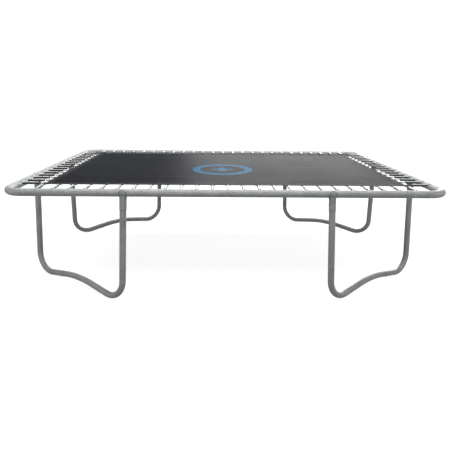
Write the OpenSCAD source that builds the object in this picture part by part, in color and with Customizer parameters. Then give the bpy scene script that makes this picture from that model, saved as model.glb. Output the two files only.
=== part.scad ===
// Rectangular trampoline: a galvanised tube frame on four W-shaped corner legs, and a
// woven mat held inside the frame by rows of coil springs.
// Millimetres. X runs along the length, Y from front to back, Z up. The origin is on the
// ground, under the middle of the frame.

/* [Frame] */
// Overall length of the frame, over its tubes
frame_l = 3658; // [3000:1:5200]
// Overall width of the frame, over its tubes
frame_w = 2438; // [2100:1:3600]
// Height of the frame tube's axis above the ground
frame_h = 944; // [700:1:1200]
// Outer diameter of the frame tube
rail_d = 63.5; // [58:0.5:76]
// Wall of the frame tube
rail_wall = 2; // [1.5:0.1:3]
// Bend radius of the frame's corners, at the tube's axis
corner_r = 140; // [90:1:240]

/* [Rail joints] */
// Distance from a leg post's axis to the rail joint beside it, towards the corner
joint_offset = 40; // [34:1:60]
// Length of a corner rail's swaged end, inside the straight rail
rail_swage_l = 95; // [50:1:98]
// Radial clearance of a swaged end in its tube
swage_clear = 0.25; // [0.1:0.05:0.4]
// Length of the taper where a tube's bore narrows to its swaged end
swage_neck_l = 8; // [4:1:15]

/* [Legs] */
// Distance from the frame's end to a post on its long side
long_post_inset = 985; // [700:1:1200]
// Distance from the frame's side to a post on its short side
short_post_inset = 727; // [560:1:860]
// Outward lean of a leg, towards its corner
leg_splay = 5; // [0:0.5:8]
// Outer diameter of the leg tube
leg_d = 55; // [45:0.5:57]
// Wall of the leg tube
leg_wall = 1.8; // [1.5:0.1:3]
// Bend radius between a post and the leg's foot
foot_bend_r = 170; // [90:1:220]
// Rise of the leg's foot towards its middle, in degrees
foot_angle = 9; // [5:0.5:12]
// Bend radius at the middle of the leg's foot
apex_r = 1155; // [300:5:1500]
// Straight end of the long half, past its middle bend
apex_stub_l = 20; // [12:1:40]
// Bare neck between the two halves of a leg
leg_joint_gap = 10; // [2:0.5:16]
// Length of the long half's swaged end, inside the short half
leg_swage_l = 80; // [60:1:120]

/* [Leg sockets] */
// Length of a socket below the frame tube
socket_l = 105; // [80:1:160]
// Wall of a socket
socket_wall = 1.8; // [1.5:0.1:3]
// Radial clearance of a leg in its socket
socket_clear = 0.2; // [0.1:0.05:0.4]
// Gap between the frame tube and the top of a leg
leg_top_gap = 5; // [4:0.5:15]
// Height of a socket's ear above the frame tube's axis
ear_h = 25; // [10:1:28]
// Thickness of a socket's ear
ear_t = 2.5; // [2:0.1:3.5]
// Weld gap between a socket and the frame tube
weld_gap = 0.1; // [0.05:0.05:0.3]

/* [Screws] */
// Diameter of a screw's shank
screw_d = 8; // [5:0.5:9]
// Length of a screw under its head
screw_l = 12; // [8:1:20]
// Width of a screw's hexagon, across its flats
hex_af = 13; // [10:1:16]
// Height of a screw's head, with its flange
hex_h = 6.5; // [5:0.5:9]
// Diameter of the flange under a screw's head
flange_d = 17; // [14:0.5:22]
// Thickness of the flange under a screw's head
flange_t = 1.6; // [1.2:0.1:2.5]
// Radial clearance of a screw in its hole
screw_clear = 0.2; // [0.1:0.05:0.5]
// Distance from the frame tube down to the screw in a leg socket
socket_screw_drop = 60; // [30:1:70]

/* [Mat] */
// Distance from the frame's outer edge to the mat's edge
mat_inset = 266; // [230:1:330]
// Height of the mat above the frame tube's axis
mat_rise = 17; // [14:0.5:24]
// Thickness of the woven mat
mat_t = 2; // [1:0.1:3]
// Width of the webbing hem that binds the mat
hem_w = 50; // [40:1:80]
// Thickness of one ply of the hem
hem_ply = 1.6; // [1:0.1:2.5]
// How far each hem's seams press the cloth's two faces in
hem_press = 0.1; // [0.05:0.05:0.3]

/* [Springs] */
// Springs along each long side
springs_long = 25; // [9:1:27]
// Springs along each short side
springs_short = 16; // [6:1:18]
// Distance from the mat's corner to the first spring of a long side
first_long = 12; // [12:1:80]
// Distance from the mat's corner to the first spring of a short side
first_short = 42; // [42:1:80]
// Outer diameter of a spring
spring_d = 24; // [20:0.5:26]
// Diameter of the spring wire
wire_d = 3.5; // [2.5:0.1:4.5]
// Distance from the frame tube's axis to the tip of a spring's hook
hook_inset = 22; // [20:0.5:24]
// Length of a hook's tip, inside the frame tube
hook_tip_l = 14; // [8:1:20]
// Bend radius of a hook
hook_bend_r = 5; // [3:0.5:6]
// Distance from the frame tube's axis to the first turn of a spring
coil_start = 44; // [38:1:60]
// Distance from a spring's last turn to the bend of its mat hook
hook_neck_l = 10; // [4:1:20]
// Diameter of a hook's hole in the frame tube
hook_hole_d = 9; // [8:0.5:11]

/* [Rings and tabs] */
// Wire diameter of a triangular ring
ring_wire_d = 4.8; // [3:0.1:4.8]
// Width of a triangular ring, corner to corner
ring_w = 48; // [36:1:56]
// Height of a triangular ring, corner to corner
ring_h = 40; // [30:1:50]
// Bend radius of a triangular ring's corners
ring_corner_r = 6; // [4:0.5:7]
// Width of the webbing tab that holds a ring
tab_w = 24; // [12:1:24]
// Length of a tab's flaps on the hem
tab_l = 28; // [15:1:28]
// Thickness of a tab
tab_t = 1.2; // [0.8:0.1:2]
// Running gap between a ring, its spring and the hem
ring_gap = 0.3; // [0.2:0.05:0.6]

/* [Hidden] */
$fn = 48;

steel = [0.66, 0.67, 0.69];
zinc = [0.78, 0.79, 0.8];
weave = [0.16, 0.16, 0.17];
webbing = [0.09, 0.09, 0.1];

// a cut runs this far past the face that it opens
over = 1;
// a bend is this much slimmer in radius than the straights that it joins, in a leg's tube and
// in a wire, and it runs this far into them
tube_slim = 0.4;
wire_slim = 0.05;
bend_lap = 0.5;
// a wide bend is drawn with this many segments to the full turn
wide_fn = 360;

// frame
rail_r = rail_d / 2;
rail_bore = rail_r - rail_wall;
rail_x = frame_l / 2 - rail_r;
rail_y = frame_w / 2 - rail_r;
bend_x = rail_x - corner_r;
bend_y = rail_y - corner_r;
rail_swage_r = rail_bore - swage_clear;

// legs
leg_r = leg_d / 2;
leg_bore = leg_r - leg_wall;
leg_swage_r = leg_bore - swage_clear;
long_post_x = frame_l / 2 - long_post_inset;
short_post_y = frame_w / 2 - short_post_inset;
long_joint = long_post_x + joint_offset;
short_joint = short_post_y + joint_offset;
span_x = rail_x - long_post_x;
span_y = rail_y - short_post_y;
leg_span = norm([span_x, span_y]);
leg_turn = atan2(span_y, span_x);
// depth of the foot's lowest axis point below the frame tube's axis, along the lean
leg_depth = (frame_h - leg_r + tube_slim) / cos(leg_splay);
bend_z = foot_bend_r - leg_depth;
leg_top = -rail_r - leg_top_gap;
foot_start = [
    foot_bend_r * (1 + sin(foot_angle)),
    0,
    bend_z - foot_bend_r * cos(foot_angle)
];
apex_run = apex_r * sin(foot_angle);
foot_l = (leg_span / 2 - apex_run - foot_start.x) / cos(foot_angle);
apex_start = foot_start + foot_l * [cos(foot_angle), 0, sin(foot_angle)];
apex_end = [leg_span - apex_start.x, 0, apex_start.z];
apex_z = apex_start.z - apex_r * cos(foot_angle);
short_foot_l = foot_l - apex_stub_l - leg_joint_gap;

// sockets
socket_bore = leg_r + socket_clear;
socket_r = socket_bore + socket_wall;
// the ear is a little narrower than its socket
ear_r = socket_r - 0.5;
ear_foot = -0.6 * rail_r;

// mat, seen in the frame of one spring: Y runs from the frame tube's axis to the mat
mat_l = frame_l - 2 * mat_inset;
mat_w = frame_w - 2 * mat_inset;
mat_z = frame_h + mat_rise;
hem_t = mat_t + 2 * hem_ply;
edge_y = mat_inset - rail_r;
ring_r = ring_wire_d / 2;
fold_y = edge_y - ring_r - ring_gap;

// rings
ring_base_angle = atan2(ring_h, ring_w / 2);
ring_tip_angle = 90 - ring_base_angle;
ring_base_cut = ring_corner_r / tan(ring_base_angle / 2);
ring_tip_cut = ring_corner_r / tan(ring_tip_angle);
ring_tip_centre = ring_h - ring_corner_r / sin(ring_tip_angle);
ring_tip_y = fold_y - ring_tip_centre - ring_corner_r;

// springs
wire_r = wire_d / 2;
spring_r = spring_d / 2;
// the hooks leave the coil just inside its outer turn
hook_rise = spring_r - wire_r - 0.25;
mat_hook_y = ring_tip_y + ring_r + ring_gap + wire_r - hook_rise;
coil_l = mat_hook_y - hook_neck_l - coil_start;
hole_y = hook_inset + wire_r + ring_gap - hook_hole_d / 2;
long_xs = [
    for (i = [0 : springs_long - 1])
        (i / (springs_long - 1) - 0.5) * (mat_l - 2 * first_long)
];
short_ys = [
    for (i = [0 : springs_short - 1])
        (i / (springs_short - 1) - 0.5) * (mat_w - 2 * first_short)
];

// --- shared shapes ---

// a round bar along +X
module bar_x(r, l) rotate([0, 90, 0]) cylinder(r = r, h = l);

// a round bar along +Y
module bar_y(r, l) rotate([-90, 0, 0]) cylinder(r = r, h = l);

// a bent round bar in the XY plane, about the origin; a slimmer one laps into its straights
module bend_xy(bend, r, from, sweep, slim = 0) {
    lap = slim > 0 ? bend_lap / bend * 180 / PI : 0;
    rotate([0, 0, from - lap])
        rotate_extrude(angle = sweep + 2 * lap, $fn = wide_fn)
            translate([bend, 0])
                circle(r = r - slim, $fn = 48);
}

// the same in the XZ plane, turning from +X towards +Z
module bend_xz(bend, r, from, sweep, slim)
    rotate([90, 0, 0]) bend_xy(bend, r, from, sweep, slim);

// the same in the YZ plane, turning from +Y towards +Z
module bend_yz(bend, r, from, sweep, slim)
    rotate([90, 0, 90]) bend_xy(bend, r, from, sweep, slim);

// copies the back right corner to one of the four corners
module at_corner(side_x, side_y)
    mirror([side_x < 0 ? 1 : 0, 0, 0])
        mirror([0, side_y < 0 ? 1 : 0, 0])
            children();

module at_all_corners()
    for (side_x = [-1, 1])
        for (side_y = [-1, 1])
            at_corner(side_x, side_y) children();

// one place for each spring of a side: Y points from the frame tube's axis to the mat
module at_front()
    for (x = long_xs)
        translate([x, -rail_y, frame_h]) children();

module at_back() rotate([0, 0, 180]) at_front() children();

module at_left()
    for (y = short_ys)
        translate([-rail_x, y, frame_h]) rotate([0, 0, -90]) children();

module at_right() rotate([0, 0, 180]) at_left() children();

// a flanged hexagon screw on a tube of the given radius, pointing out along +Z
module screw(tube_r)
    color(zinc)
        translate([0, 0, tube_r + weld_gap]) {
            cylinder(d = flange_d, h = flange_t);
            cylinder(d = hex_af / cos(30), h = hex_h, $fn = 6);
            translate([0, 0, -screw_l]) cylinder(d = screw_d, h = screw_l + over);
        }

// the hole for that screw, through one side of the tube
module screw_hole(tube_r)
    cylinder(r = screw_d / 2 + screw_clear, h = tube_r + 2 * over);

// the hole for a spring's hook, in the top of the frame tube
module hook_hole()
    translate([0, hole_y, 0]) cylinder(d = hook_hole_d, h = rail_r + over);

// --- frame rails ---

module at_long_joint_screw()
    translate([long_joint - rail_swage_l / 2, rail_y, frame_h]) rotate([180, 0, 0]) children();

module at_short_joint_screw()
    translate([rail_x, short_joint - rail_swage_l / 2, frame_h]) rotate([180, 0, 0]) children();

// the straight rail of the back long side
module long_rail()
    color(steel)
        difference() {
            translate([-long_joint, rail_y, frame_h]) bar_x(rail_r, 2 * long_joint);
            translate([-long_joint - over, rail_y, frame_h])
                bar_x(rail_bore, 2 * (long_joint + over));
            for (x = long_xs)
                if (abs(x) < long_joint)
                    translate([x, rail_y, frame_h]) rotate([0, 0, 180]) hook_hole();
            for (side_x = [-1, 1])
                at_corner(side_x, 1) at_long_joint_screw() screw_hole(rail_r);
        }

// the straight rail of the right short side
module short_rail()
    color(steel)
        difference() {
            translate([rail_x, -short_joint, frame_h]) bar_y(rail_r, 2 * short_joint);
            translate([rail_x, -short_joint - over, frame_h])
                bar_y(rail_bore, 2 * (short_joint + over));
            for (y = short_ys)
                if (abs(y) < short_joint)
                    translate([rail_x, y, frame_h]) rotate([0, 0, 90]) hook_hole();
            for (side_y = [-1, 1])
                at_corner(1, side_y) at_short_joint_screw() screw_hole(rail_r);
        }

// a bar along the corner rail's axis; its ends reach past the joints by start
module corner_bar(r, start) {
    translate([long_joint + start, rail_y, frame_h]) bar_x(r, bend_x - long_joint - start);
    translate([bend_x, bend_y, frame_h]) bend_xy(corner_r, r, 0, 90);
    translate([rail_x, short_joint + start, frame_h]) bar_y(r, bend_y - short_joint - start);
}

// the corner rail's swaged ends, of length l from start
module corner_ends(r, start, l) {
    translate([long_joint + start, rail_y, frame_h]) bar_x(r, l);
    translate([rail_x, short_joint + start, frame_h]) bar_y(r, l);
}

// the corner rail at the back right: one bent tube with two swaged ends
module corner_rail()
    color(steel)
        difference() {
            union() {
                corner_bar(rail_r, 0);
                corner_ends(rail_swage_r, -rail_swage_l, rail_swage_l);
            }
            corner_bar(rail_bore, swage_neck_l);
            corner_ends(
                rail_swage_r - rail_wall,
                -rail_swage_l - over,
                rail_swage_l + over + swage_neck_l
            );
            for (x = long_xs)
                if (x > long_joint)
                    translate([x, rail_y, frame_h]) rotate([0, 0, 180]) hook_hole();
            for (y = short_ys)
                if (y > short_joint)
                    translate([rail_x, y, frame_h]) rotate([0, 0, 90]) hook_hole();
            at_long_joint_screw() screw_hole(rail_r);
            at_short_joint_screw() screw_hole(rail_r);
        }

module rail_joint_screws()
    at_all_corners() {
        at_long_joint_screw() screw(rail_r);
        at_short_joint_screw() screw(rail_r);
    }

// --- leg sockets ---

// the leg's own plane: X from the long side's post to the short side's, Z up along the posts
module at_leg()
    translate([long_post_x, rail_y, frame_h])
        rotate([0, 0, -leg_turn])
            rotate([leg_splay, 0, 0])
                children();

// the place of a post: the long side's at 0, the short side's at the leg's span
module at_post(x) at_leg() translate([x, 0, 0]) children();

module at_socket_screw(x)
    at_post(x) translate([0, 0, -rail_r - socket_screw_drop]) rotate([90, 0, 0]) children();

// the ear that wraps up the outside of the frame tube, which runs along X
module socket_ear()
    intersection() {
        translate([-ear_r - over, 0, 0])
            difference() {
                bar_x(rail_r + weld_gap + ear_t, 2 * (ear_r + over));
                translate([-over, 0, 0]) bar_x(rail_r, 2 * (ear_r + 2 * over));
            }
        rotate([90, 0, 180])
            linear_extrude(rail_r + ear_t + over) {
                translate([0, ear_h - ear_r]) circle(r = ear_r);
                translate([-ear_r, ear_foot]) square([2 * ear_r, ear_h - ear_r - ear_foot]);
            }
    }

// a socket on a post at x; turn aims its ear away from the mat
module socket(x, place, turn)
    color(steel)
        difference() {
            union() {
                at_post(x)
                    translate([0, 0, -rail_r - socket_l])
                        cylinder(r = socket_r, h = rail_r + socket_l);
                translate(place) rotate([0, 0, turn]) socket_ear();
            }
            translate(place)
                rotate([0, 0, turn])
                    translate([-2 * socket_r, 0, 0])
                        bar_x(rail_r + weld_gap, 4 * socket_r);
            at_post(x)
                translate([0, 0, -rail_r - socket_l - over])
                    cylinder(r = socket_bore, h = rail_r + socket_l + over);
            at_socket_screw(x) screw_hole(socket_r);
        }

module long_socket() socket(0, [long_post_x, rail_y, frame_h], 0);

module short_socket() socket(leg_span, [rail_x, short_post_y, frame_h], -90);

module socket_screws()
    at_all_corners() {
        at_socket_screw(0) screw(socket_r);
        at_socket_screw(leg_span) screw(socket_r);
    }

// --- legs ---

// a post from its top down into its foot: length l of the rising part, top raised by past
module post_and_foot(r, l, past) {
    translate([0, 0, bend_z]) cylinder(r = r, h = leg_top - bend_z + past);
    translate([foot_bend_r, 0, bend_z])
        bend_xz(foot_bend_r, r, 180, 90 + foot_angle, tube_slim);
    translate(foot_start) rotate([0, 90 - foot_angle, 0]) cylinder(r = r, h = l + past);
}

// the straight line on which the two halves meet, with Z running down to the short half
module at_leg_joint() translate(apex_end) rotate([0, 90 + foot_angle, 0]) children();

// the long half's middle bend and its straight end of length l
module apex_and_stub(r, l) {
    translate([leg_span / 2, 0, apex_z])
        bend_xz(apex_r, r, 90 - foot_angle, 2 * foot_angle, tube_slim);
    at_leg_joint() cylinder(r = r, h = l);
}

module at_leg_joint_screw()
    at_leg()
        at_leg_joint()
            translate([0, 0, apex_stub_l + leg_joint_gap + leg_swage_l / 2])
                rotate([0, 90, 0])
                    children();

// the half of a leg under the long side, with the middle bend and the swaged end
module long_leg()
    color(steel)
        difference() {
            at_leg() {
                post_and_foot(leg_r, foot_l, 0);
                apex_and_stub(leg_r, apex_stub_l);
                at_leg_joint()
                    cylinder(r = leg_swage_r, h = apex_stub_l + leg_joint_gap + leg_swage_l);
            }
            at_leg() {
                post_and_foot(leg_bore, foot_l, 0);
                translate([0, 0, leg_top - over]) cylinder(r = leg_bore, h = 2 * over);
                apex_and_stub(leg_bore, apex_stub_l - swage_neck_l);
                at_leg_joint()
                    cylinder(
                        r = leg_swage_r - leg_wall,
                        h = apex_stub_l + leg_joint_gap + leg_swage_l + over
                    );
            }
            at_socket_screw(0) screw_hole(leg_r);
            at_leg_joint_screw() screw_hole(leg_r);
        }

// the half of a leg under the short side
module short_leg()
    color(steel)
        difference() {
            at_leg()
                translate([leg_span, 0, 0])
                    mirror([1, 0, 0])
                        difference() {
                            post_and_foot(leg_r, short_foot_l, 0);
                            post_and_foot(leg_bore, short_foot_l, over);
                        }
            at_socket_screw(leg_span) screw_hole(leg_r);
            at_leg_joint_screw() screw_hole(leg_r);
        }

module leg_joint_screws() at_all_corners() at_leg_joint_screw() screw(leg_r);

// --- springs ---

// one extension spring: a closed coil with a hook at each end
module spring()
    color(zinc)
        translate([0, 0, mat_rise]) {
            translate([0, coil_start, 0])
                difference() {
                    bar_y(spring_r, coil_l);
                    translate([0, -over, 0]) bar_y(spring_r - wire_d, coil_l + 2 * over);
                }
            rail_hook();
            mat_hook();
        }

// the hook that drops into the frame tube's hole
module rail_hook() {
    bend_y0 = hook_inset + hook_bend_r;
    translate([0, bend_y0, hook_rise]) bar_y(wire_r, coil_start - bend_y0);
    translate([0, bend_y0, hook_rise - hook_bend_r])
        bend_yz(hook_bend_r, wire_r, 90, 90, wire_slim);
    translate([0, hook_inset, hook_rise - hook_bend_r - hook_tip_l])
        cylinder(r = wire_r, h = hook_tip_l, $fn = 24);
}

// the hook that closes round a ring's tip
module mat_hook() {
    translate([0, mat_hook_y - hook_neck_l, hook_rise]) bar_y(wire_r, hook_neck_l);
    translate([0, mat_hook_y, 0]) bend_yz(hook_rise, wire_r, -90, 180, wire_slim);
}

// --- rings and tabs ---

// one side of a ring, from the corner on its base to its tip
module ring_side() {
    dir = [-cos(ring_base_angle), sin(ring_base_angle), 0];
    side_l = norm([ring_w / 2, ring_h]) - ring_base_cut - ring_tip_cut;
    translate([ring_w / 2, 0, 0] + ring_base_cut * dir)
        rotate([0, 0, -ring_base_angle])
            rotate([0, -90, 0])
                cylinder(r = ring_r, h = side_l, $fn = 24);
    translate([ring_w / 2 - ring_base_cut, ring_corner_r, 0])
        bend_xy(ring_corner_r, ring_r, -90, 180 - ring_base_angle, wire_slim);
}

// a triangular wire ring: its base lies in the tab's fold, its tip in the spring's hook
module ring()
    color(zinc)
        translate([0, fold_y, mat_rise])
            mirror([0, 1, 0]) {
                translate([ring_base_cut - ring_w / 2, 0, 0])
                    bar_x(ring_r, ring_w - 2 * ring_base_cut);
                ring_side();
                mirror([1, 0, 0]) ring_side();
                translate([0, ring_tip_centre, 0])
                    bend_xy(ring_corner_r, ring_r, ring_tip_angle, 180 - 2 * ring_tip_angle,
                            wire_slim);
            }

// the section of a tab in YZ: a strap folded round the ring's base and over the hem
module tab_section(r) {
    translate([fold_y, 0]) circle(r = r);
    translate([fold_y, -r]) square([edge_y - fold_y + tab_l, 2 * r]);
}

module tab()
    color(webbing)
        translate([-tab_w / 2, 0, mat_rise])
            rotate([90, 0, 90])
                linear_extrude(tab_w)
                    difference() {
                        tab_section(hem_t / 2 + tab_t);
                        tab_section(hem_t / 2);
                        translate([edge_y + tab_l - over, -hem_t / 2]) square([2 * over, hem_t]);
                    }

// --- mat ---

// the hem on the back long edge, closed round the mat's edge and both corners
module long_hem()
    color(webbing)
        translate([0, mat_w / 2 - hem_w / 2, mat_z])
            difference() {
                cube([mat_l, hem_w, hem_t], center = true);
                translate([0, -hem_ply, 0])
                    cube([mat_l - 2 * hem_ply, hem_w, mat_t], center = true);
            }

// the hem on the right short edge, between the two long hems
module short_hem()
    color(webbing)
        translate([mat_l / 2 - hem_w / 2, 0, mat_z])
            difference() {
                cube([hem_w, mat_w - 2 * hem_w, hem_t], center = true);
                translate([-hem_ply, 0, 0]) cube([hem_w, mat_w, mat_t], center = true);
            }

// the cloth: it runs on to the folds of the hems, pressed a little thinner under them
module jumping_mat()
    color(weave)
        translate([0, 0, mat_z]) {
            cube([mat_l - 2 * hem_ply, mat_w - 2 * hem_ply, mat_t - 2 * hem_press], center = true);
            cube([mat_l - 2 * hem_w - 2, mat_w - 2 * hem_w - 2, mat_t], center = true);
        }

// --- the parts ---

at_corner(1, -1) long_rail();  // long_rail_front
long_rail();  // long_rail_back
at_corner(-1, 1) short_rail();  // short_rail_left
short_rail();  // short_rail_right
at_corner(-1, -1) corner_rail();  // corner_rail_front_left
at_corner(1, -1) corner_rail();  // corner_rail_front_right
at_corner(-1, 1) corner_rail();  // corner_rail_back_left
at_corner(1, 1) corner_rail();  // corner_rail_back_right
at_corner(-1, -1) long_socket();  // long_socket_front_left
at_corner(1, -1) long_socket();  // long_socket_front_right
at_corner(-1, 1) long_socket();  // long_socket_back_left
at_corner(1, 1) long_socket();  // long_socket_back_right
at_corner(-1, -1) short_socket();  // short_socket_front_left
at_corner(1, -1) short_socket();  // short_socket_front_right
at_corner(-1, 1) short_socket();  // short_socket_back_left
at_corner(1, 1) short_socket();  // short_socket_back_right
at_corner(-1, -1) long_leg();  // long_leg_front_left
at_corner(1, -1) long_leg();  // long_leg_front_right
at_corner(-1, 1) long_leg();  // long_leg_back_left
at_corner(1, 1) long_leg();  // long_leg_back_right
at_corner(-1, -1) short_leg();  // short_leg_front_left
at_corner(1, -1) short_leg();  // short_leg_front_right
at_corner(-1, 1) short_leg();  // short_leg_back_left
at_corner(1, 1) short_leg();  // short_leg_back_right
rail_joint_screws();
socket_screws();
leg_joint_screws();
at_front() spring();  // springs_front
at_back() spring();  // springs_back
at_left() spring();  // springs_left
at_right() spring();  // springs_right
at_front() ring();  // rings_front
at_back() ring();  // rings_back
at_left() ring();  // rings_left
at_right() ring();  // rings_right
at_front() tab();  // tabs_front
at_back() tab();  // tabs_back
at_left() tab();  // tabs_left
at_right() tab();  // tabs_right
at_corner(1, -1) long_hem();  // hem_front
long_hem();  // hem_back
at_corner(-1, 1) short_hem();  // hem_left
short_hem();  // hem_right
jumping_mat();
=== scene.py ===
import math

import bmesh
import bpy
from mathutils import Matrix, Vector


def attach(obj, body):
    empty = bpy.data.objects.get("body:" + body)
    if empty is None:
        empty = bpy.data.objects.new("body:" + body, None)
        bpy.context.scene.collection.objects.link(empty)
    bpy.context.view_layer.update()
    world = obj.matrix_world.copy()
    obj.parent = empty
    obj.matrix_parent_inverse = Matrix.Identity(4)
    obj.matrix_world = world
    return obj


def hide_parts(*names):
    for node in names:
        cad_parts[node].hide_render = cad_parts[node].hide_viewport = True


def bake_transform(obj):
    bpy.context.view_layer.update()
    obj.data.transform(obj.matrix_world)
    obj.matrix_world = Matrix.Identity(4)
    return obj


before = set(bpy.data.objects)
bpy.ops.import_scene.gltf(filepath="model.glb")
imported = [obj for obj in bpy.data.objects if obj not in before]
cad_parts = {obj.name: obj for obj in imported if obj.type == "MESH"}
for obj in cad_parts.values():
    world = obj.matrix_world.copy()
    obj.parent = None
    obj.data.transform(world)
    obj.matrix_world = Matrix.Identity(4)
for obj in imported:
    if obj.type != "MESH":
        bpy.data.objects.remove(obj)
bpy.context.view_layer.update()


# --- The view ---
# The view is from 1.72 m up in front of a long side, a shade left of its middle, and a
# little downwards. X runs to the right, Y away and Z up, in metres. Angles are in radians.
eye = Vector((-0.1181, -4.499, 1.7204))
heading, down, tilt = 0.0281, 0.3051, 0.0123

ahead = Vector((math.sin(heading) * math.cos(down), math.cos(heading) * math.cos(down),
                -math.sin(down)))
level_right = Vector((math.cos(heading), -math.sin(heading), 0))
level_up = level_right.cross(ahead)
right = math.cos(tilt) * level_right + math.sin(tilt) * level_up
up = math.cos(tilt) * level_up - math.sin(tilt) * level_right
camera_data = bpy.data.cameras.new("camera")
camera_data.lens = 33.72
camera_data.sensor_width = 36
camera = bpy.data.objects.new("camera", camera_data)
camera.matrix_world = Matrix((
    (right.x, up.x, -ahead.x, eye.x),
    (right.y, up.y, -ahead.y, eye.y),
    (right.z, up.z, -ahead.z, eye.z),
    (0, 0, 0, 1),
))
bpy.context.collection.objects.link(camera)
bpy.context.scene.camera = camera
bpy.context.scene.view_settings.view_transform = "Standard"


# --- Frame tube ---
# The frame is round steel tube, 63.5 mm across: four straight rails and four bent corners,
# whose swaged ends slide into the straights.
frame_l, frame_w, rail_z = 3.658, 2.438, 0.944
rail_r = 0.03175
rail_x, rail_y = frame_l / 2 - rail_r, frame_w / 2 - rail_r


def linear(hex_colour):
    """the linear colour of an sRGB hex value"""
    parts = [int(hex_colour[i:i + 2], 16) / 255 for i in (1, 3, 5)]
    return [p / 12.92 if p <= 0.04045 else ((p + 0.055) / 1.055) ** 2.4 for p in parts] + [1]


def add(tree, kind, settings, sockets):
    """adds a node with its settings, and gives its sockets their links or values"""
    node = tree.nodes.new("ShaderNode" + kind)
    for name, value in settings.items():
        setattr(node, name, value)
    for name, value in sockets.items():
        if isinstance(value, bpy.types.NodeSocket):
            tree.links.new(value, node.inputs[name])
        else:
            node.inputs[name].default_value = value
    return node


def new_material(name):
    """a material with an empty tree but for its output and one shader"""
    material = bpy.data.materials.new(name)
    material.use_nodes = True
    tree = material.node_tree
    tree.nodes.clear()
    shader = tree.nodes.new("ShaderNodeBsdfPrincipled")
    tree.links.new(shader.outputs[0], add(tree, "OutputMaterial", {}, {}).inputs["Surface"])
    return material, tree, shader


# Pre-galvanised steel: a dull grey coat with faint zinc grains of about 12 mm, which differ
# a little in tone and gloss, and a very fine unevenness. Its metallic value and its specular
# level are well below a bare metal's: they are chosen to give its flat middle grey.
grain_w = 0.012
galvanised, tree, shader = new_material("galvanised_steel")
place = add(tree, "TexCoord", {}, {}).outputs["Object"]
grains = add(tree, "TexVoronoi", {}, {"Vector": place, "Scale": 1 / grain_w, "Randomness": 1})
grain = add(tree, "SeparateColor", {}, {"Color": grains.outputs["Color"]}).outputs["Red"]
clouds = add(tree, "TexNoise", {}, {"Vector": place, "Scale": 9, "Detail": 3}).outputs["Fac"]
fine = add(tree, "TexNoise", {}, {"Vector": place, "Scale": 900, "Detail": 2}).outputs["Fac"]
tone = add(tree, "Math", {"operation": "MULTIPLY_ADD"}, {0: grain, 1: 0.35, 2: clouds})
colour = add(tree, "ValToRGB", {}, {"Fac": tone.outputs[0]})
colour.color_ramp.elements[0].position = 0.35
colour.color_ramp.elements[0].color = linear("#7b7d7e")
colour.color_ramp.elements[1].position = 1.0
colour.color_ramp.elements[1].color = linear("#949698")
tree.links.new(colour.outputs["Color"], shader.inputs["Base Color"])
rough = add(tree, "MapRange", {}, {"Value": tone.outputs[0], "From Min": 0.3, "From Max": 1,
                                   "To Min": 0.4, "To Max": 0.55})
tree.links.new(rough.outputs[0], shader.inputs["Roughness"])
bump = add(tree, "Bump", {}, {"Height": fine, "Strength": 0.12, "Distance": 0.0003})
tree.links.new(bump.outputs[0], shader.inputs["Normal"])
shader.inputs["Metallic"].default_value = 0.2
shader.inputs["Specular IOR Level"].default_value = 0.2


def finish_nodes(material, *starts):
    """gives a material to every CAD node whose name starts so"""
    for name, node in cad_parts.items():
        if name.startswith(starts):
            for slot in node.material_slots:
                slot.material = material


finish_nodes(galvanised, "long_rail", "short_rail", "corner_rail")


# --- Leg sockets ---
# Eight short sockets of tube stand under the rails, two by each corner. Each is cut to the
# rail's curve and welded on, with an ear up the rail's outer side.
socket_r = 0.0295
# the post under a long rail stands at this x, and the one under a short rail at this y
long_post_x, short_post_y = 0.844, 0.492
long_post = Vector((long_post_x, rail_y, rail_z))
short_post = Vector((rail_x, short_post_y, rail_z))
# a leg's posts stand in one plane, turned across the corner and leaning out
leg_turn = math.atan2(rail_y - short_post_y, rail_x - long_post_x)
leg_span = math.hypot(rail_y - short_post_y, rail_x - long_post_x)
leg_splay = math.radians(5)


def bmesh_to_piece(bm, name, material, smooth=True):
    """makes a piece of a finished bmesh"""
    bmesh.ops.recalc_face_normals(bm, faces=bm.faces)
    mesh = bpy.data.meshes.new(name)
    bm.to_mesh(mesh)
    bm.free()
    if smooth:
        mesh.shade_smooth()
    mesh.materials.append(material)
    piece = bpy.data.objects.new(name, mesh)
    bpy.context.collection.objects.link(piece)
    return piece


def corner_matrix(side_x, side_y):
    """turns the back right corner's places into another corner's"""
    return Matrix.Diagonal((side_x, side_y, 1, 1))


leg_matrix = (Matrix.Translation(long_post) @ Matrix.Rotation(-leg_turn, 4, "Z")
              @ Matrix.Rotation(leg_splay, 4, "X"))

# Weld bead: steel with small ripples, rougher than the tube. It is drawn much darker than
# zinc paint would be, as painted shade in the seam, so that the thin beads show as a dark line
# round each joint.
weld, tree, shader = new_material("zinc_painted_weld")
place = add(tree, "TexCoord", {}, {}).outputs["Object"]
ripples = add(tree, "TexNoise", {}, {"Vector": place, "Scale": 260, "Detail": 2}).outputs["Fac"]
colour = add(tree, "ValToRGB", {}, {"Fac": ripples})
colour.color_ramp.elements[0].color = linear("#3a3c3e")
colour.color_ramp.elements[1].color = linear("#606366")
tree.links.new(colour.outputs["Color"], shader.inputs["Base Color"])
bump = add(tree, "Bump", {}, {"Height": ripples, "Strength": 0.5, "Distance": 0.0012})
tree.links.new(bump.outputs[0], shader.inputs["Normal"])
shader.inputs["Metallic"].default_value = 0.4
shader.inputs["Roughness"].default_value = 0.6

near = 1e-6
bead_r, seal_r = 0.0028, 0.0016
seal_depth = 0.0006
bead_sides, bead_steps = 8, 56
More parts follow.
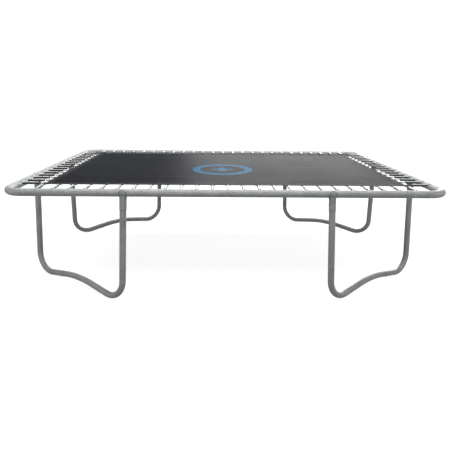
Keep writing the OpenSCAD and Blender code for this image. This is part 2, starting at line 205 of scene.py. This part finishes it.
# the socket's lower end, from the rail's axis along the post
socket_end_z = -0.13675
beads = bmesh.new()
for post_x, rail_point, rail_way in (
        (0, long_post, Vector((1, 0, 0))),
        (leg_span, short_post, Vector((0, 1, 0)))):
    one = bmesh.new()
    # a fine ring round the post, moved along the post until it lies on the rail
    section = bmesh.ops.create_circle(one, segments=bead_sides, radius=bead_r)["verts"]
    bmesh.ops.transform(one, verts=section, matrix=Matrix.Translation((socket_r, 0, 0))
                        @ Matrix.Rotation(math.radians(90), 4, "X"))
    bmesh.ops.spin(one, geom=one.verts[:] + one.edges[:], cent=(0, 0, 0), axis=(0, 0, 1),
                   angle=2 * math.pi, steps=bead_steps, use_merge=True)
    bmesh.ops.remove_doubles(one, verts=one.verts, dist=near)
    post_matrix = leg_matrix @ Matrix.Translation((post_x, 0, 0))
    post_way = (post_matrix.to_3x3() @ Vector((0, 0, 1))).normalized()
    for v in one.verts:
        radial = Vector((v.co.x, v.co.y, 0)).normalized() * socket_r
        foot = post_matrix @ radial
        # where the line along the post meets the rail's underside
        across = foot - rail_point
        across -= across.dot(rail_way) * rail_way
        way = post_way - post_way.dot(rail_way) * rail_way
        a, b, c = way.dot(way), across.dot(way), across.dot(across) - rail_r ** 2
        rise = (-b - math.sqrt(max(b * b - a * c, 0))) / a
        v.co.z += rise
    # and a second ring where the socket's lower end is sealed to the leg
    seal = bmesh.ops.create_circle(one, segments=bead_sides, radius=seal_r)["verts"]
    seal_at = Matrix.Translation((socket_r - seal_depth, 0, socket_end_z))
    bmesh.ops.transform(one, verts=seal, matrix=seal_at @ Matrix.Rotation(math.radians(90), 4, "X"))
    seal_edges = list({e for v in seal for e in v.link_edges})
    bmesh.ops.spin(one, geom=seal + seal_edges, cent=(0, 0, 0), axis=(0, 0, 1),
                   angle=2 * math.pi, steps=bead_steps)
    bmesh.ops.remove_doubles(one, verts=one.verts, dist=near)
    bmesh.ops.transform(one, verts=one.verts, matrix=post_matrix)
    mesh = bpy.data.meshes.new("bead")
    one.to_mesh(mesh)
    one.free()
    for side_x in (-1, 1):
        for side_y in (-1, 1):
            first = len(beads.verts)
            beads.from_mesh(mesh)
            beads.verts.ensure_lookup_table()
            bmesh.ops.transform(beads, verts=beads.verts[first:],
                                matrix=corner_matrix(side_x, side_y))
socket_welds = bmesh_to_piece(beads, "socket_welds", weld)
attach(socket_welds, "frame")

# each ear has a round top, 25 mm above the rail's axis, and a bead round its top and sides
ear_half_w, ear_centre_h, ear_foot_h = 0.029, -0.004, -0.019
ear_bead_r, ear_proud = 0.0032, 0.0012
ear_curve = bpy.data.curves.new("ear_welds", "CURVE")
ear_curve.dimensions = "3D"
ear_curve.bevel_depth = ear_bead_r
ear_curve.bevel_resolution = 2
edge = [(-ear_half_w, ear_foot_h)]
edge += [(-ear_half_w * math.cos(math.radians(a)),
          ear_centre_h + ear_half_w * math.sin(math.radians(a))) for a in range(0, 181, 9)]
edge += [(ear_half_w, ear_foot_h)]
for place, turned in ((long_post, 0), (short_post, -math.pi / 2)):
    for side_x in (-1, 1):
        for side_y in (-1, 1):
            spline = ear_curve.splines.new("POLY")
            spline.points.add(len(edge) - 1)
            for point, (across, high) in zip(spline.points, edge):
                out = math.sqrt((rail_r + ear_proud) ** 2 - high ** 2)
                at = Vector((across, out, high))
                at = corner_matrix(side_x, side_y) @ (place + Matrix.Rotation(turned, 3, "Z") @ at)
                point.co = (*at, 1)
ear_curve.materials.append(weld)
ear_welds = bpy.data.objects.new("ear_welds", ear_curve)
bpy.context.collection.objects.link(ear_welds)
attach(ear_welds, "frame")


# --- Legs ---
# Each W-shaped leg is two bent tubes of 55 mm that stand in the sockets and meet on the
# ground side, one swaged to slide into the other. They are galvanised as the frame is. They
# and the sockets are drawn a little darker than the rails, as painted shade under the mat.
leg_steel = galvanised.copy()
leg_steel.name = "shaded_galvanised_steel"
for node in leg_steel.node_tree.nodes:
    if node.type == "VALTORGB":
        # the rails' colours made darker: painted shade
        node.color_ramp.elements[0].color = linear("#757778")
        node.color_ramp.elements[1].color = linear("#8c8e90")
finish_nodes(leg_steel, "long_leg", "short_leg", "long_socket", "short_socket")


# --- Screws ---
# Self-tapping hex screws with a flange hold the tube joints, the sockets and the legs.
# Bright zinc plating, with a faint yellow cast and darker patches.
plated, tree, shader = new_material("bright_zinc_plating")
place = add(tree, "TexCoord", {}, {}).outputs["Object"]
marks = add(tree, "TexNoise", {}, {"Vector": place, "Scale": 420, "Detail": 3}).outputs["Fac"]
colour = add(tree, "ValToRGB", {}, {"Fac": marks})
colour.color_ramp.elements[0].position = 0.3
colour.color_ramp.elements[0].color = linear("#8d8c88")
colour.color_ramp.elements[1].position = 0.6
colour.color_ramp.elements[1].color = linear("#c3c4c2")
tree.links.new(colour.outputs["Color"], shader.inputs["Base Color"])
rough = add(tree, "MapRange", {}, {"Value": marks, "To Min": 0.2, "To Max": 0.42})
tree.links.new(rough.outputs[0], shader.inputs["Roughness"])
shader.inputs["Metallic"].default_value = 1
finish_nodes(plated, "rail_joint_screws", "socket_screws", "leg_joint_screws")


# --- Springs ---
# Eighty-two extension springs, 25 on each long side and 16 on each short one: 3.5 mm wire
# wound close to 24 mm across. One hook drops into the rail, the other holds a ring.
mat_inset = 0.266
mat_l, mat_w = frame_l - 2 * mat_inset, frame_w - 2 * mat_inset
# from the mat's corner to the first spring of a long side and of a short one
first_long, first_short = 0.012, 0.042
# heights are above the rail's axis, and a place ending in _s is measured from it to the mat
spring_z = 0.017
wire_r = 0.00175
coil_r = 0.012 - wire_r
# the mat's hook is a round bend from the coil's end, and the rail's hook turns down once
mat_hook_s, mat_hook_r = 0.19166, 0.010
rail_hook_s, rail_hook_r, rail_hook_drop = 0.027, 0.005, 0.014
hook_z = spring_z + mat_hook_r
hook_lap = 0.004
coil_start, coil_end = 0.044, mat_hook_s - mat_hook_r
# how far a coil's end takes to narrow, and by what share of its width
narrow_l, narrowing = 0.0065, 0.45


def spread(mat_side, first, count):
    """the springs' places along a side, evenly spaced about its middle"""
    step = (mat_side - 2 * first) / (count - 1)
    return [(i - (count - 1) / 2) * step for i in range(count)]


long_places, short_places = spread(mat_l, first_long, 25), spread(mat_w, first_short, 16)
# each side's own frame: X along the rail, Y from the rail to the mat, Z up from its axis
sides = {
    "front": (Matrix.Translation((0, -rail_y, rail_z)), long_places),
    "back": (Matrix.Translation((0, rail_y, rail_z)) @ Matrix.Rotation(math.pi, 4, "Z"),
             long_places),
    "left": (Matrix.Translation((-rail_x, 0, rail_z)) @ Matrix.Rotation(-math.pi / 2, 4, "Z"),
             short_places),
    "right": (Matrix.Translation((rail_x, 0, rail_z)) @ Matrix.Rotation(math.pi / 2, 4, "Z"),
              short_places),
}


def wire_end(bm, r, at, facing, sides_round):
    """the open end of a round wire, as its edges"""
    turned = Vector((0, 0, 1)).rotation_difference(Vector(facing)).to_matrix().to_4x4()
    ring = bmesh.ops.create_circle(bm, segments=sides_round, radius=r,
                                   matrix=Matrix.Translation(at) @ turned)["verts"]
    return list({e for v in ring for e in v.link_edges})


def run(bm, edges, vector):
    """draws the wire's end on in a straight line, and gives the new end"""
    new = bmesh.ops.extrude_edge_only(bm, edges=edges)["geom"]
    bmesh.ops.translate(bm, verts=[g for g in new if isinstance(g, bmesh.types.BMVert)],
                        vec=vector)
    return [g for g in new if isinstance(g, bmesh.types.BMEdge)
            and all(v in new for v in g.verts)]


def turn(bm, edges, centre, axis, degrees, steps, dvec=(0, 0, 0)):
    """bends the wire's end on round a centre, and gives the new end"""
    new = bmesh.ops.spin(bm, geom=edges, cent=centre, axis=axis, dvec=dvec,
                         angle=math.radians(degrees), steps=steps)["geom_last"]
    return [g for g in new if isinstance(g, bmesh.types.BMEdge)]


def cap(bm, edges):
    """closes a wire's end"""
    bmesh.ops.holes_fill(bm, edges=edges)


def one_spring():
    """a spring in its side's frame: the coil, the rail's hook and the mat's hook"""
    bm = bmesh.new()
    turns, round_steps = 37, 10
    pitch = (coil_end - coil_start - 2 * wire_r) / turns
    narrow_turns, narrow_pitch = 2, 0.003
    # the coil starts and ends at its top, where the hooks leave it
    start = wire_end(bm, wire_r, (0, coil_start + wire_r, spring_z + coil_r), (1, 0, 0), 6)
    end = turn(bm, start, (0, 0, spring_z), (0, 1, 0), 360 * turns, turns * round_steps,
               (0, pitch / round_steps, 0))
    # two more turns narrow towards the mat's hook, and two towards the rail's
    for edges, way in ((end, 1), (start, -1)):
        first = len(bm.verts)
        last = turn(bm, edges, (0, 0, spring_z), (0, way, 0), 360 * narrow_turns,
                    narrow_turns * round_steps, (0, way * narrow_pitch / round_steps, 0))
        bm.verts.ensure_lookup_table()
        for v in bm.verts[first:]:
            beyond = way * (v.co.y - (coil_end - wire_r if way > 0 else coil_start + wire_r))
            scale = 1 - max(0, beyond) / narrow_l * narrowing
            v.co.x *= scale
            v.co.z = spring_z + (v.co.z - spring_z) * scale
        cap(bm, last)
    # the rail's hook
    start = wire_end(bm, wire_r, (0, coil_start + hook_lap, hook_z), (0, -1, 0), 8)
    end = run(bm, start, (0, rail_hook_s - coil_start - hook_lap, 0))
    end = turn(bm, end, (0, rail_hook_s, hook_z - rail_hook_r), (1, 0, 0), 90, 5)
    end = run(bm, end, (0, 0, -rail_hook_drop))
    cap(bm, start)
    cap(bm, end)
    # the mat's hook
    start = wire_end(bm, wire_r, (0, coil_end - hook_lap, hook_z), (0, 1, 0), 8)
    end = run(bm, start, (0, mat_hook_s - coil_end + hook_lap, 0))
    end = turn(bm, end, (0, mat_hook_s, spring_z), (1, 0, 0), -185, 10)
    cap(bm, start)
    cap(bm, end)
    # how far along the spring and how high in its coil each corner lies, in metres
    uv_layer = bm.loops.layers.uv.new("place")
    for face in bm.faces:
        for loop in face.loops:
            loop[uv_layer].uv = (loop.vert.co.y, loop.vert.co.z - spring_z)
    mesh = bpy.data.meshes.new("one_spring")
    bmesh.ops.recalc_face_normals(bm, faces=bm.faces)
    bm.to_mesh(mesh)
    bm.free()
    return mesh


def row(mesh, side):
    """a bmesh with a copy of a mesh at each place along a side"""
    matrix, places = sides[side]
    bm = bmesh.new()
    for x in places:
        first = len(bm.verts)
        bm.from_mesh(mesh)
        bm.verts.ensure_lookup_table()
        bmesh.ops.translate(bm, verts=bm.verts[first:], vec=(x, 0, 0))
    bmesh.ops.transform(bm, matrix=matrix, verts=bm.verts)
    return bm


# Zinc-plated spring wire. The colour goes by the height in the coil, as painted light and
# shade: its top is painted much lighter, a painted highlight, and its flanks, its underside
# and the hooks darker, as painted shade, so that each spring shows a light band over a dark
# line at a size where its turns don't show.
spring_steel, tree, shader = new_material("zinc_plated_spring_wire")
place = add(tree, "TexCoord", {}, {})
drawn = add(tree, "TexNoise", {}, {"Vector": place.outputs["Object"], "Scale": 160,
                                   "Detail": 2}).outputs["Fac"]
where = add(tree, "SeparateXYZ", {}, {"Vector": place.outputs["UV"]})
high = add(tree, "MapRange", {}, {"Value": where.outputs["Y"], "From Min": 0.005,
                                  "From Max": 0.0122}).outputs[0]
in_coil = add(tree, "Math", {"operation": "COMPARE"}, {
    0: where.outputs["X"], 1: (coil_start + coil_end) / 2, 2: (coil_end - coil_start) / 2})
# painted highlight on the coil's top and painted shade below it and on the hooks, with a little
# random tone
painted_light_and_grain = add(tree, "Math", {"operation": "MULTIPLY"}, {0: high, 1: in_coil.outputs[0]})
painted_light_and_grain = add(tree, "Math", {"operation": "MULTIPLY_ADD"}, {0: drawn, 1: 0.2, 2: painted_light_and_grain.outputs[0]})
colour = add(tree, "ValToRGB", {}, {"Fac": painted_light_and_grain.outputs[0]})
colour.color_ramp.elements[0].position = 0.1
colour.color_ramp.elements[0].color = linear("#3c3d3e")
colour.color_ramp.elements[1].position = 1.0
colour.color_ramp.elements[1].color = linear("#b2b4b6")
tree.links.new(colour.outputs["Color"], shader.inputs["Base Color"])
rough = add(tree, "MapRange", {}, {"Value": drawn, "To Min": 0.25, "To Max": 0.42})
tree.links.new(rough.outputs[0], shader.inputs["Roughness"])
shader.inputs["Metallic"].default_value = 0.3
shader.inputs["Specular IOR Level"].default_value = 0.25

spring_mesh = one_spring()
for side, (matrix, places) in sides.items():
    springs = bmesh_to_piece(row(spring_mesh, side), f"coil_springs_{side}", spring_steel)
    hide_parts(f"springs_{side}")
    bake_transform(springs)


# --- Rings ---
# A triangular ring of wire at each spring. Its tip lies in the spring's hook, and its base
# in the fold of the mat's tab. The wire is drawn 5.2 mm thick for 4.8 mm, so that it shows.
ring_wire_r, ring_bend = 0.0026, 0.006
ring_base_s, ring_half_w, ring_h = 0.23155, 0.024, 0.040
base_angle = math.degrees(math.atan2(ring_h, ring_half_w))
tip_half_angle = 90 - base_angle
base_cut = ring_bend / math.tan(math.radians(base_angle / 2))
tip_cut = ring_bend / math.tan(math.radians(tip_half_angle))
side_l = math.hypot(ring_half_w, ring_h) - base_cut - tip_cut

# Steel wire: dark grey, with patches of a darker brown-grey. It is drawn darker than plain
# wire, as painted shade, so that the row of rings reads as a dark line of shade beside the mat.
ring_steel, tree, shader = new_material("shade_darkened_ring_wire")
place = add(tree, "TexCoord", {}, {}).outputs["Object"]
dull = add(tree, "TexNoise", {}, {"Vector": place, "Scale": 120, "Detail": 3}).outputs["Fac"]
colour = add(tree, "ValToRGB", {}, {"Fac": dull})
colour.color_ramp.elements[0].position = 0.35
colour.color_ramp.elements[0].color = linear("#2e2d2d")
colour.color_ramp.elements[1].position = 0.7
colour.color_ramp.elements[1].color = linear("#5a5b5d")
tree.links.new(colour.outputs["Color"], shader.inputs["Base Color"])
rough = add(tree, "MapRange", {}, {"Value": dull, "To Min": 0.35, "To Max": 0.55})
tree.links.new(rough.outputs[0], shader.inputs["Roughness"])
shader.inputs["Metallic"].default_value = 0.9

bm = bmesh.new()
end = start = wire_end(bm, ring_wire_r, (0, ring_base_s, spring_z), (1, 0, 0), 8)
end = run(bm, end, (ring_half_w - base_cut, 0, 0))
end = turn(bm, end, (ring_half_w - base_cut, ring_base_s - ring_bend, spring_z), (0, 0, 1),
           -(180 - base_angle), 6)
slope = math.radians(base_angle)
end = run(bm, end, (-side_l * math.cos(slope), -side_l * math.sin(slope), 0))
tip_centre = ring_base_s - ring_h + ring_bend / math.sin(math.radians(tip_half_angle))
end = turn(bm, end, (0, tip_centre, spring_z), (0, 0, 1), -(180 - 2 * tip_half_angle), 7)
end = run(bm, end, (-side_l * math.cos(slope), side_l * math.sin(slope), 0))
end = turn(bm, end, (base_cut - ring_half_w, ring_base_s - ring_bend, spring_z), (0, 0, 1),
           -(180 - base_angle), 6)
end = run(bm, end, (ring_half_w - base_cut, 0, 0))
bmesh.ops.remove_doubles(bm, verts=bm.verts, dist=1e-5)
ring_mesh = bpy.data.meshes.new("one_ring")
bm.to_mesh(ring_mesh)
bm.free()
for side in sides:
    rings = bmesh_to_piece(row(ring_mesh, side), f"wire_rings_{side}", ring_steel)
    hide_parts(f"rings_{side}")
    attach(rings, "mat")


# --- Jumping mat ---
# Black woven polypropylene, 3126 by 1906 mm and 2 mm thick, held taut all round. Its middle
# hangs 4 mm lower than its edges. Each edge stops a little short of the hem's fold.
mat_t, mat_z, mat_sag = 0.002, rail_z + spring_z, 0.004
hem_w, edge_gap = 0.050, 0.003

bm = bmesh.new()
bmesh.ops.create_grid(bm, x_segments=64, y_segments=40, size=0.5,
                      matrix=Matrix.Translation((0, 0, mat_z))
                      @ Matrix.Diagonal((mat_l - 2 * edge_gap, mat_w - 2 * edge_gap, 1, 1)))
free_x, free_y = mat_l / 2 - hem_w, mat_w / 2 - hem_w
for v in bm.verts:
    if abs(v.co.x) < free_x and abs(v.co.y) < free_y:
        v.co.z -= mat_sag * (1 - (v.co.x / free_x) ** 2) * (1 - (v.co.y / free_y) ** 2)
bmesh.ops.translate(bm, verts=bm.verts, vec=(0, 0, mat_t / 2))
bmesh.ops.solidify(bm, geom=bm.faces[:], thickness=mat_t)

# Woven polypropylene: flat black yarn of about 1 mm in a plain weave, with a dull sheen. The
# weave is drawn 5 mm wide, because 1 mm doesn't show. Fine streaks run along and across the
# cloth. The blue mark is printed on the yarn. The IOR is far below the plastic's own 1.49,
# which mirrors the white surroundings at a low angle and turns the cloth pale grey.
cloth, tree, shader = new_material("woven_polypropylene")
place = add(tree, "TexCoord", {}, {}).outputs["Object"]
# a wave texture of this scale has one band to a metre
wave_scale = math.pi / 10
weave_w = 0.005
warp = add(tree, "TexWave", {"bands_direction": "X"},
           {"Vector": place, "Scale": wave_scale / weave_w, "Distortion": 0.0}).outputs["Fac"]
weft = add(tree, "TexWave", {"bands_direction": "Y"},
           {"Vector": place, "Scale": wave_scale / weave_w, "Distortion": 0.0}).outputs["Fac"]
checks = add(tree, "TexChecker", {}, {"Vector": place, "Scale": 1 / weave_w}).outputs["Fac"]
weave = add(tree, "Mix", {"data_type": "FLOAT"}, {0: checks, 2: warp, 3: weft}).outputs[0]
along = add(tree, "Mapping", {}, {"Vector": place, "Scale": (0.9, 90, 1)}).outputs[0]
streaks = add(tree, "TexNoise", {}, {"Vector": along, "Scale": 1, "Detail": 4}).outputs["Fac"]
across = add(tree, "Mapping", {}, {"Vector": place, "Scale": (55, 0.9, 1)}).outputs[0]
lines = add(tree, "TexNoise", {}, {"Vector": across, "Scale": 1, "Detail": 3}).outputs["Fac"]
patches = add(tree, "TexNoise", {}, {"Vector": place, "Scale": 2.2, "Detail": 3}).outputs["Fac"]
tone = add(tree, "Math", {"operation": "MULTIPLY_ADD"}, {0: streaks, 1: 0.7, 2: 0})
tone = add(tree, "Math", {"operation": "MULTIPLY_ADD"}, {0: lines, 1: 0.15, 2: tone.outputs[0]})
tone = add(tree, "Math", {"operation": "MULTIPLY_ADD"}, {0: weave, 1: 0.15, 2: tone.outputs[0]})
yarn = add(tree, "ValToRGB", {}, {"Fac": tone.outputs[0]})
yarn.color_ramp.elements[0].position = 0.40
yarn.color_ramp.elements[0].color = linear("#070808")
yarn.color_ramp.elements[1].position = 0.66
yarn.color_ramp.elements[1].color = linear("#2a2b2e")
# the mark: a plain ring with a small cross in it, a target to jump on
mark_x, mark_y = -0.03, -0.16
mark_r, mark_half_line = 0.27, 0.04
arm_half_l, arm_half_w = 0.11, 0.035
mark = add(tree, "Mapping", {"vector_type": "POINT"},
           {"Vector": place, "Location": (-mark_x, -mark_y, -mat_z)}).outputs[0]
flat = add(tree, "Mapping", {}, {"Vector": mark, "Scale": (1, 1, 0)}).outputs[0]
from_middle = add(tree, "VectorMath", {"operation": "LENGTH"}, {0: flat}).outputs["Value"]
drawn = add(tree, "Math", {"operation": "COMPARE"},
            {0: from_middle, 1: mark_r, 2: mark_half_line}).outputs[0]
arms = add(tree, "SeparateXYZ", {}, {"Vector": flat})
for along_arm, across_arm in (("X", "Y"), ("Y", "X")):
    long_part = add(tree, "Math", {"operation": "COMPARE"},
                    {0: arms.outputs[along_arm], 1: 0, 2: arm_half_l}).outputs[0]
    slim_part = add(tree, "Math", {"operation": "COMPARE"},
                    {0: arms.outputs[across_arm], 1: 0, 2: arm_half_w}).outputs[0]
    bar = add(tree, "Math", {"operation": "MULTIPLY"}, {0: long_part, 1: slim_part}).outputs[0]
    drawn = add(tree, "Math", {"operation": "MAXIMUM"}, {0: drawn, 1: bar}).outputs[0]
ink = add(tree, "Mix", {"data_type": "RGBA"},
          {0: streaks, 6: linear("#0c3a54"), 7: linear("#245f80")}).outputs[2]
worn = add(tree, "MapRange", {}, {"Value": weave, "To Min": 0.72, "To Max": 1.0}).outputs[0]
printed = add(tree, "Math", {"operation": "MULTIPLY"}, {0: drawn, 1: worn}).outputs[0]
colour = add(tree, "Mix", {"data_type": "RGBA"},
             {0: printed, 6: yarn.outputs["Color"], 7: ink}).outputs[2]
tree.links.new(colour, shader.inputs["Base Color"])
rough = add(tree, "MapRange", {}, {"Value": patches, "To Min": 0.4, "To Max": 0.5})
tree.links.new(rough.outputs[0], shader.inputs["Roughness"])
bump = add(tree, "Bump", {}, {"Height": weave, "Strength": 0.35, "Distance": 0.0006})
tree.links.new(bump.outputs[0], shader.inputs["Normal"])
shader.inputs["IOR"].default_value = 1.023

mat = bmesh_to_piece(bm, "woven_mat", cloth, smooth=False)
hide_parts("jumping_mat")
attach(mat, "mat")


# --- Hems ---
# A strip of 100 mm polypropylene webbing is folded over each edge of the mat and sewn
# through with two rows at its inner edge and two at its outer one.
hem_ply = 0.0016
fold_r = mat_t / 2 + hem_ply / 2
# the mat's edge, from the rail's axis
edge_s = mat_inset - rail_r

# Polypropylene webbing: matt black, with ribs of about 2 mm across its width. The ribs are
# drawn 3 mm wide to show. Thread rows are dashes of 3.5 mm, every 5 mm, in a paler grey. The
# IOR is set low for the same reason as the cloth's.
rib_w = 0.003
stitch_pitch, stitch_share, thread_half_w = 0.005, 0.7, 0.0007
seam_places = (0.006, 0.012, 0.038, 0.044)
webbing, tree, shader = new_material("ribbed_webbing")
uv = add(tree, "TexCoord", {}, {}).outputs["UV"]
ribs = add(tree, "TexWave", {"bands_direction": "X"},
           {"Vector": uv, "Scale": wave_scale / rib_w, "Distortion": 0.3}).outputs["Fac"]
dust = add(tree, "TexNoise", {}, {"Vector": uv, "Scale": 30, "Detail": 4}).outputs["Fac"]
parts = add(tree, "SeparateXYZ", {}, {"Vector": uv})
base = add(tree, "Mix", {"data_type": "RGBA"},
           {0: dust, 6: linear("#17181a"), 7: linear("#2a2b2d")}).outputs[2]
stitch = add(tree, "Math", {"operation": "DIVIDE"}, {0: parts.outputs["X"], 1: stitch_pitch})
dash = add(tree, "Math", {"operation": "FRACT"}, {0: stitch.outputs[0]})
dash = add(tree, "Math", {"operation": "LESS_THAN"}, {0: dash.outputs[0], 1: stitch_share})
rows_seen = None
for where in seam_places:
    seam = add(tree, "Math", {"operation": "COMPARE"},
               {0: parts.outputs["Y"], 1: where, 2: thread_half_w}).outputs[0]
    rows_seen = seam if rows_seen is None else add(
        tree, "Math", {"operation": "MAXIMUM"}, {0: rows_seen, 1: seam}).outputs[0]
thread = add(tree, "Math", {"operation": "MULTIPLY"}, {0: rows_seen, 1: dash.outputs[0]})
colour = add(tree, "Mix", {"data_type": "RGBA"},
             {0: thread.outputs[0], 6: base, 7: linear("#6a6b6d")}).outputs[2]
tree.links.new(colour, shader.inputs["Base Color"])
height = add(tree, "Math", {"operation": "MULTIPLY_ADD"}, {0: thread.outputs[0], 1: 0.8, 2: ribs})
bump = add(tree, "Bump", {}, {"Height": height.outputs[0], "Strength": 0.5, "Distance": 0.0005})
tree.links.new(bump.outputs[0], shader.inputs["Normal"])
shader.inputs["Roughness"].default_value = 0.6
shader.inputs["IOR"].default_value = 1.05


def folded_strip(half_l, pieces_along, fold_s, fold_radius, reach_s, ply):
    """a strip folded round an edge, in a side's frame, with UVs in metres"""
    bm = bmesh.new()
    bottom, top = spring_z - fold_radius, spring_z + fold_radius
    first = bm.verts.new((-half_l, reach_s, bottom))
    second = bm.verts.new((-half_l, fold_s, bottom))
    edge = bm.edges.new((first, second))
    bend = bmesh.ops.spin(bm, geom=[second], cent=(0, fold_s, spring_z), axis=(1, 0, 0),
                          angle=-math.pi, steps=8)["geom_last"]
    last = [g for g in bend if isinstance(g, bmesh.types.BMVert)][0]
    bm.edges.new((last, bm.verts.new((-half_l, reach_s, top))))
    for i in range(pieces_along):
        ends = [e for e in bm.edges if all(abs(v.co.x + half_l - i * 2 * half_l / pieces_along)
                                           < near for v in e.verts)]
        run(bm, ends, (2 * half_l / pieces_along, 0, 0))
    bmesh.ops.remove_doubles(bm, verts=bm.verts, dist=near)
    bmesh.ops.recalc_face_normals(bm, faces=bm.faces)
    uv_layer = bm.loops.layers.uv.new("strip")
    for face in bm.faces:
        for loop in face.loops:
            s, z = loop.vert.co.y, loop.vert.co.z - spring_z
            if s >= fold_s - near:
                v = reach_s - s
            else:
                v = reach_s - fold_s + fold_radius * (math.pi / 2 - abs(math.atan2(z, fold_s - s)))
            loop[uv_layer].uv = (loop.vert.co.x, v)
    bmesh.ops.solidify(bm, geom=bm.faces[:], thickness=ply)
    return bm


for side, (matrix, places) in sides.items():
    half = mat_l / 2 if side in ("front", "back") else mat_w / 2 - hem_w
    bm = folded_strip(half, 48 if side in ("front", "back") else 28,
                      edge_s + fold_r + hem_ply / 2, fold_r, edge_s + hem_w, hem_ply)
    bmesh.ops.transform(bm, matrix=matrix, verts=bm.verts)
    hem = bmesh_to_piece(bm, f"folded_hem_{side}", webbing, smooth=False)
    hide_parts(f"hem_{side}")
    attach(hem, "mat")


# --- Tabs ---
# A 24 mm strap of webbing is folded round each ring's base and sewn to the hem above and
# below with rows of stitches.
tab_w, tab_l, tab_ply = 0.024, 0.028, 0.0012
tab_bm = folded_strip(tab_w / 2, 4, ring_base_s, ring_wire_r + tab_ply / 2, edge_s + tab_l,
                      tab_ply)
tab_mesh = bpy.data.meshes.new("one_tab")
tab_bm.to_mesh(tab_mesh)
tab_bm.free()
for side in sides:
    tab = bmesh_to_piece(row(tab_mesh, side), f"webbing_tabs_{side}", webbing, smooth=False)
    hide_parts(f"tabs_{side}")
    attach(tab, "mat")


# --- Floor and light ---
# A floor that shows white and keeps a faint shadow, and seven soft lights. The strongest by
# far stands low at the back right: it gives the mat its sheen, darkest at the left, and it
# also lights the steel that faces the back.
floor_mesh = bpy.data.meshes.new("floor")
bm = bmesh.new()
bmesh.ops.create_grid(bm, x_segments=1, y_segments=1, size=60)
bm.to_mesh(floor_mesh)
bm.free()
floor = bpy.data.objects.new("floor", floor_mesh)
bpy.context.collection.objects.link(floor)


def seen_ray(tree):
    """1 for a ray of the camera, a reflection or a see-through, and 0 for one that lights"""
    path = add(tree, "LightPath", {}, {})
    seen = add(tree, "Math", {"operation": "MAXIMUM"}, {
        0: path.outputs["Is Camera Ray"], 1: path.outputs["Is Glossy Ray"]})
    seen = add(tree, "Math", {"operation": "MAXIMUM"}, {
        0: seen.outputs[0], 1: path.outputs["Is Transmission Ray"]})
    return seen.outputs[0]


paint, tree, shader = new_material("white_studio_floor")
tree.nodes.remove(shader)
output = [n for n in tree.nodes if n.type == "OUTPUT_MATERIAL"][0]
seen = seen_ray(tree)
plain = add(tree, "BsdfDiffuse", {}, {"Color": linear("#686868")})
# the glow grows away from the object, so that the floor meets the backdrop without a line
place = add(tree, "TexCoord", {}, {}).outputs["Object"]
away = add(tree, "VectorMath", {"operation": "LENGTH"}, {0: place}).outputs["Value"]
glow_strength = add(tree, "MapRange", {}, {"Value": away, "From Min": 2.5, "From Max": 9,
                                           "To Min": 0.86, "To Max": 1}).outputs[0]
glow = add(tree, "Emission", {}, {"Color": (1, 1, 1, 1), "Strength": glow_strength})
dim = add(tree, "BsdfDiffuse", {}, {"Color": (0.25, 0.25, 0.25, 1)})
both = add(tree, "AddShader", {}, {0: glow.outputs[0], 1: dim.outputs[0]})
mixed = add(tree, "MixShader", {}, {0: seen, 1: plain.outputs[0], 2: both.outputs[0]})
tree.links.new(mixed.outputs[0], output.inputs["Surface"])
floor_mesh.materials.append(paint)

world = bpy.data.worlds.new("studio")
bpy.context.scene.world = world
world.use_nodes = True
tree = world.node_tree
tree.nodes.clear()
strength = add(tree, "MapRange", {}, {"Value": seen_ray(tree), "To Min": 0.06, "To Max": 1})
sky = add(tree, "Background", {}, {"Color": (1, 1, 1, 1), "Strength": strength.outputs[0]})
tree.links.new(sky.outputs[0], add(tree, "OutputWorld", {}, {}).inputs["Surface"])


def soft_light(name, place, target, width, depth, watts):
    """a flat soft light that the camera doesn't see, placed and sized in metres"""
    data = bpy.data.lights.new(name, "AREA")
    data.shape = "RECTANGLE"
    data.size, data.size_y, data.energy = width, depth, watts
    light = bpy.data.objects.new(name, data)
    light.location = place
    light.rotation_euler = (Vector(target) - Vector(place)).to_track_quat("-Z", "Y").to_euler()
    light.visible_camera = False
    bpy.context.collection.objects.link(light)


soft_light("overhead_light", (0, -1.9, 4.4), (0, -0.4, 0.9), 6.0, 1.6, 215)
soft_light("front_light", (-0.1, -6.6, 1.9), (-0.1, 0, 0.7), 3.5, 1.2, 80)
soft_light("back_light", (-0.5, 7.0, 4.6), (0, 0, 0.9), 9.0, 3.0, 60)
soft_light("far_light", (0, 1.7, 4.0), (0, 1.2, 0.9), 7.0, 1.0, 230)
soft_light("left_light", (-4.4, -2.4, 1.0), (-1.8, -0.8, 0.6), 1.6, 1.6, 24)
soft_light("right_light", (4.4, -2.4, 1.0), (1.8, -0.8, 0.6), 1.6, 1.6, 24)
soft_light("sheen_light", (3.4, 8.2, 2.3), (1.0, 0, 0.9), 9.0, 2.6, 1030)
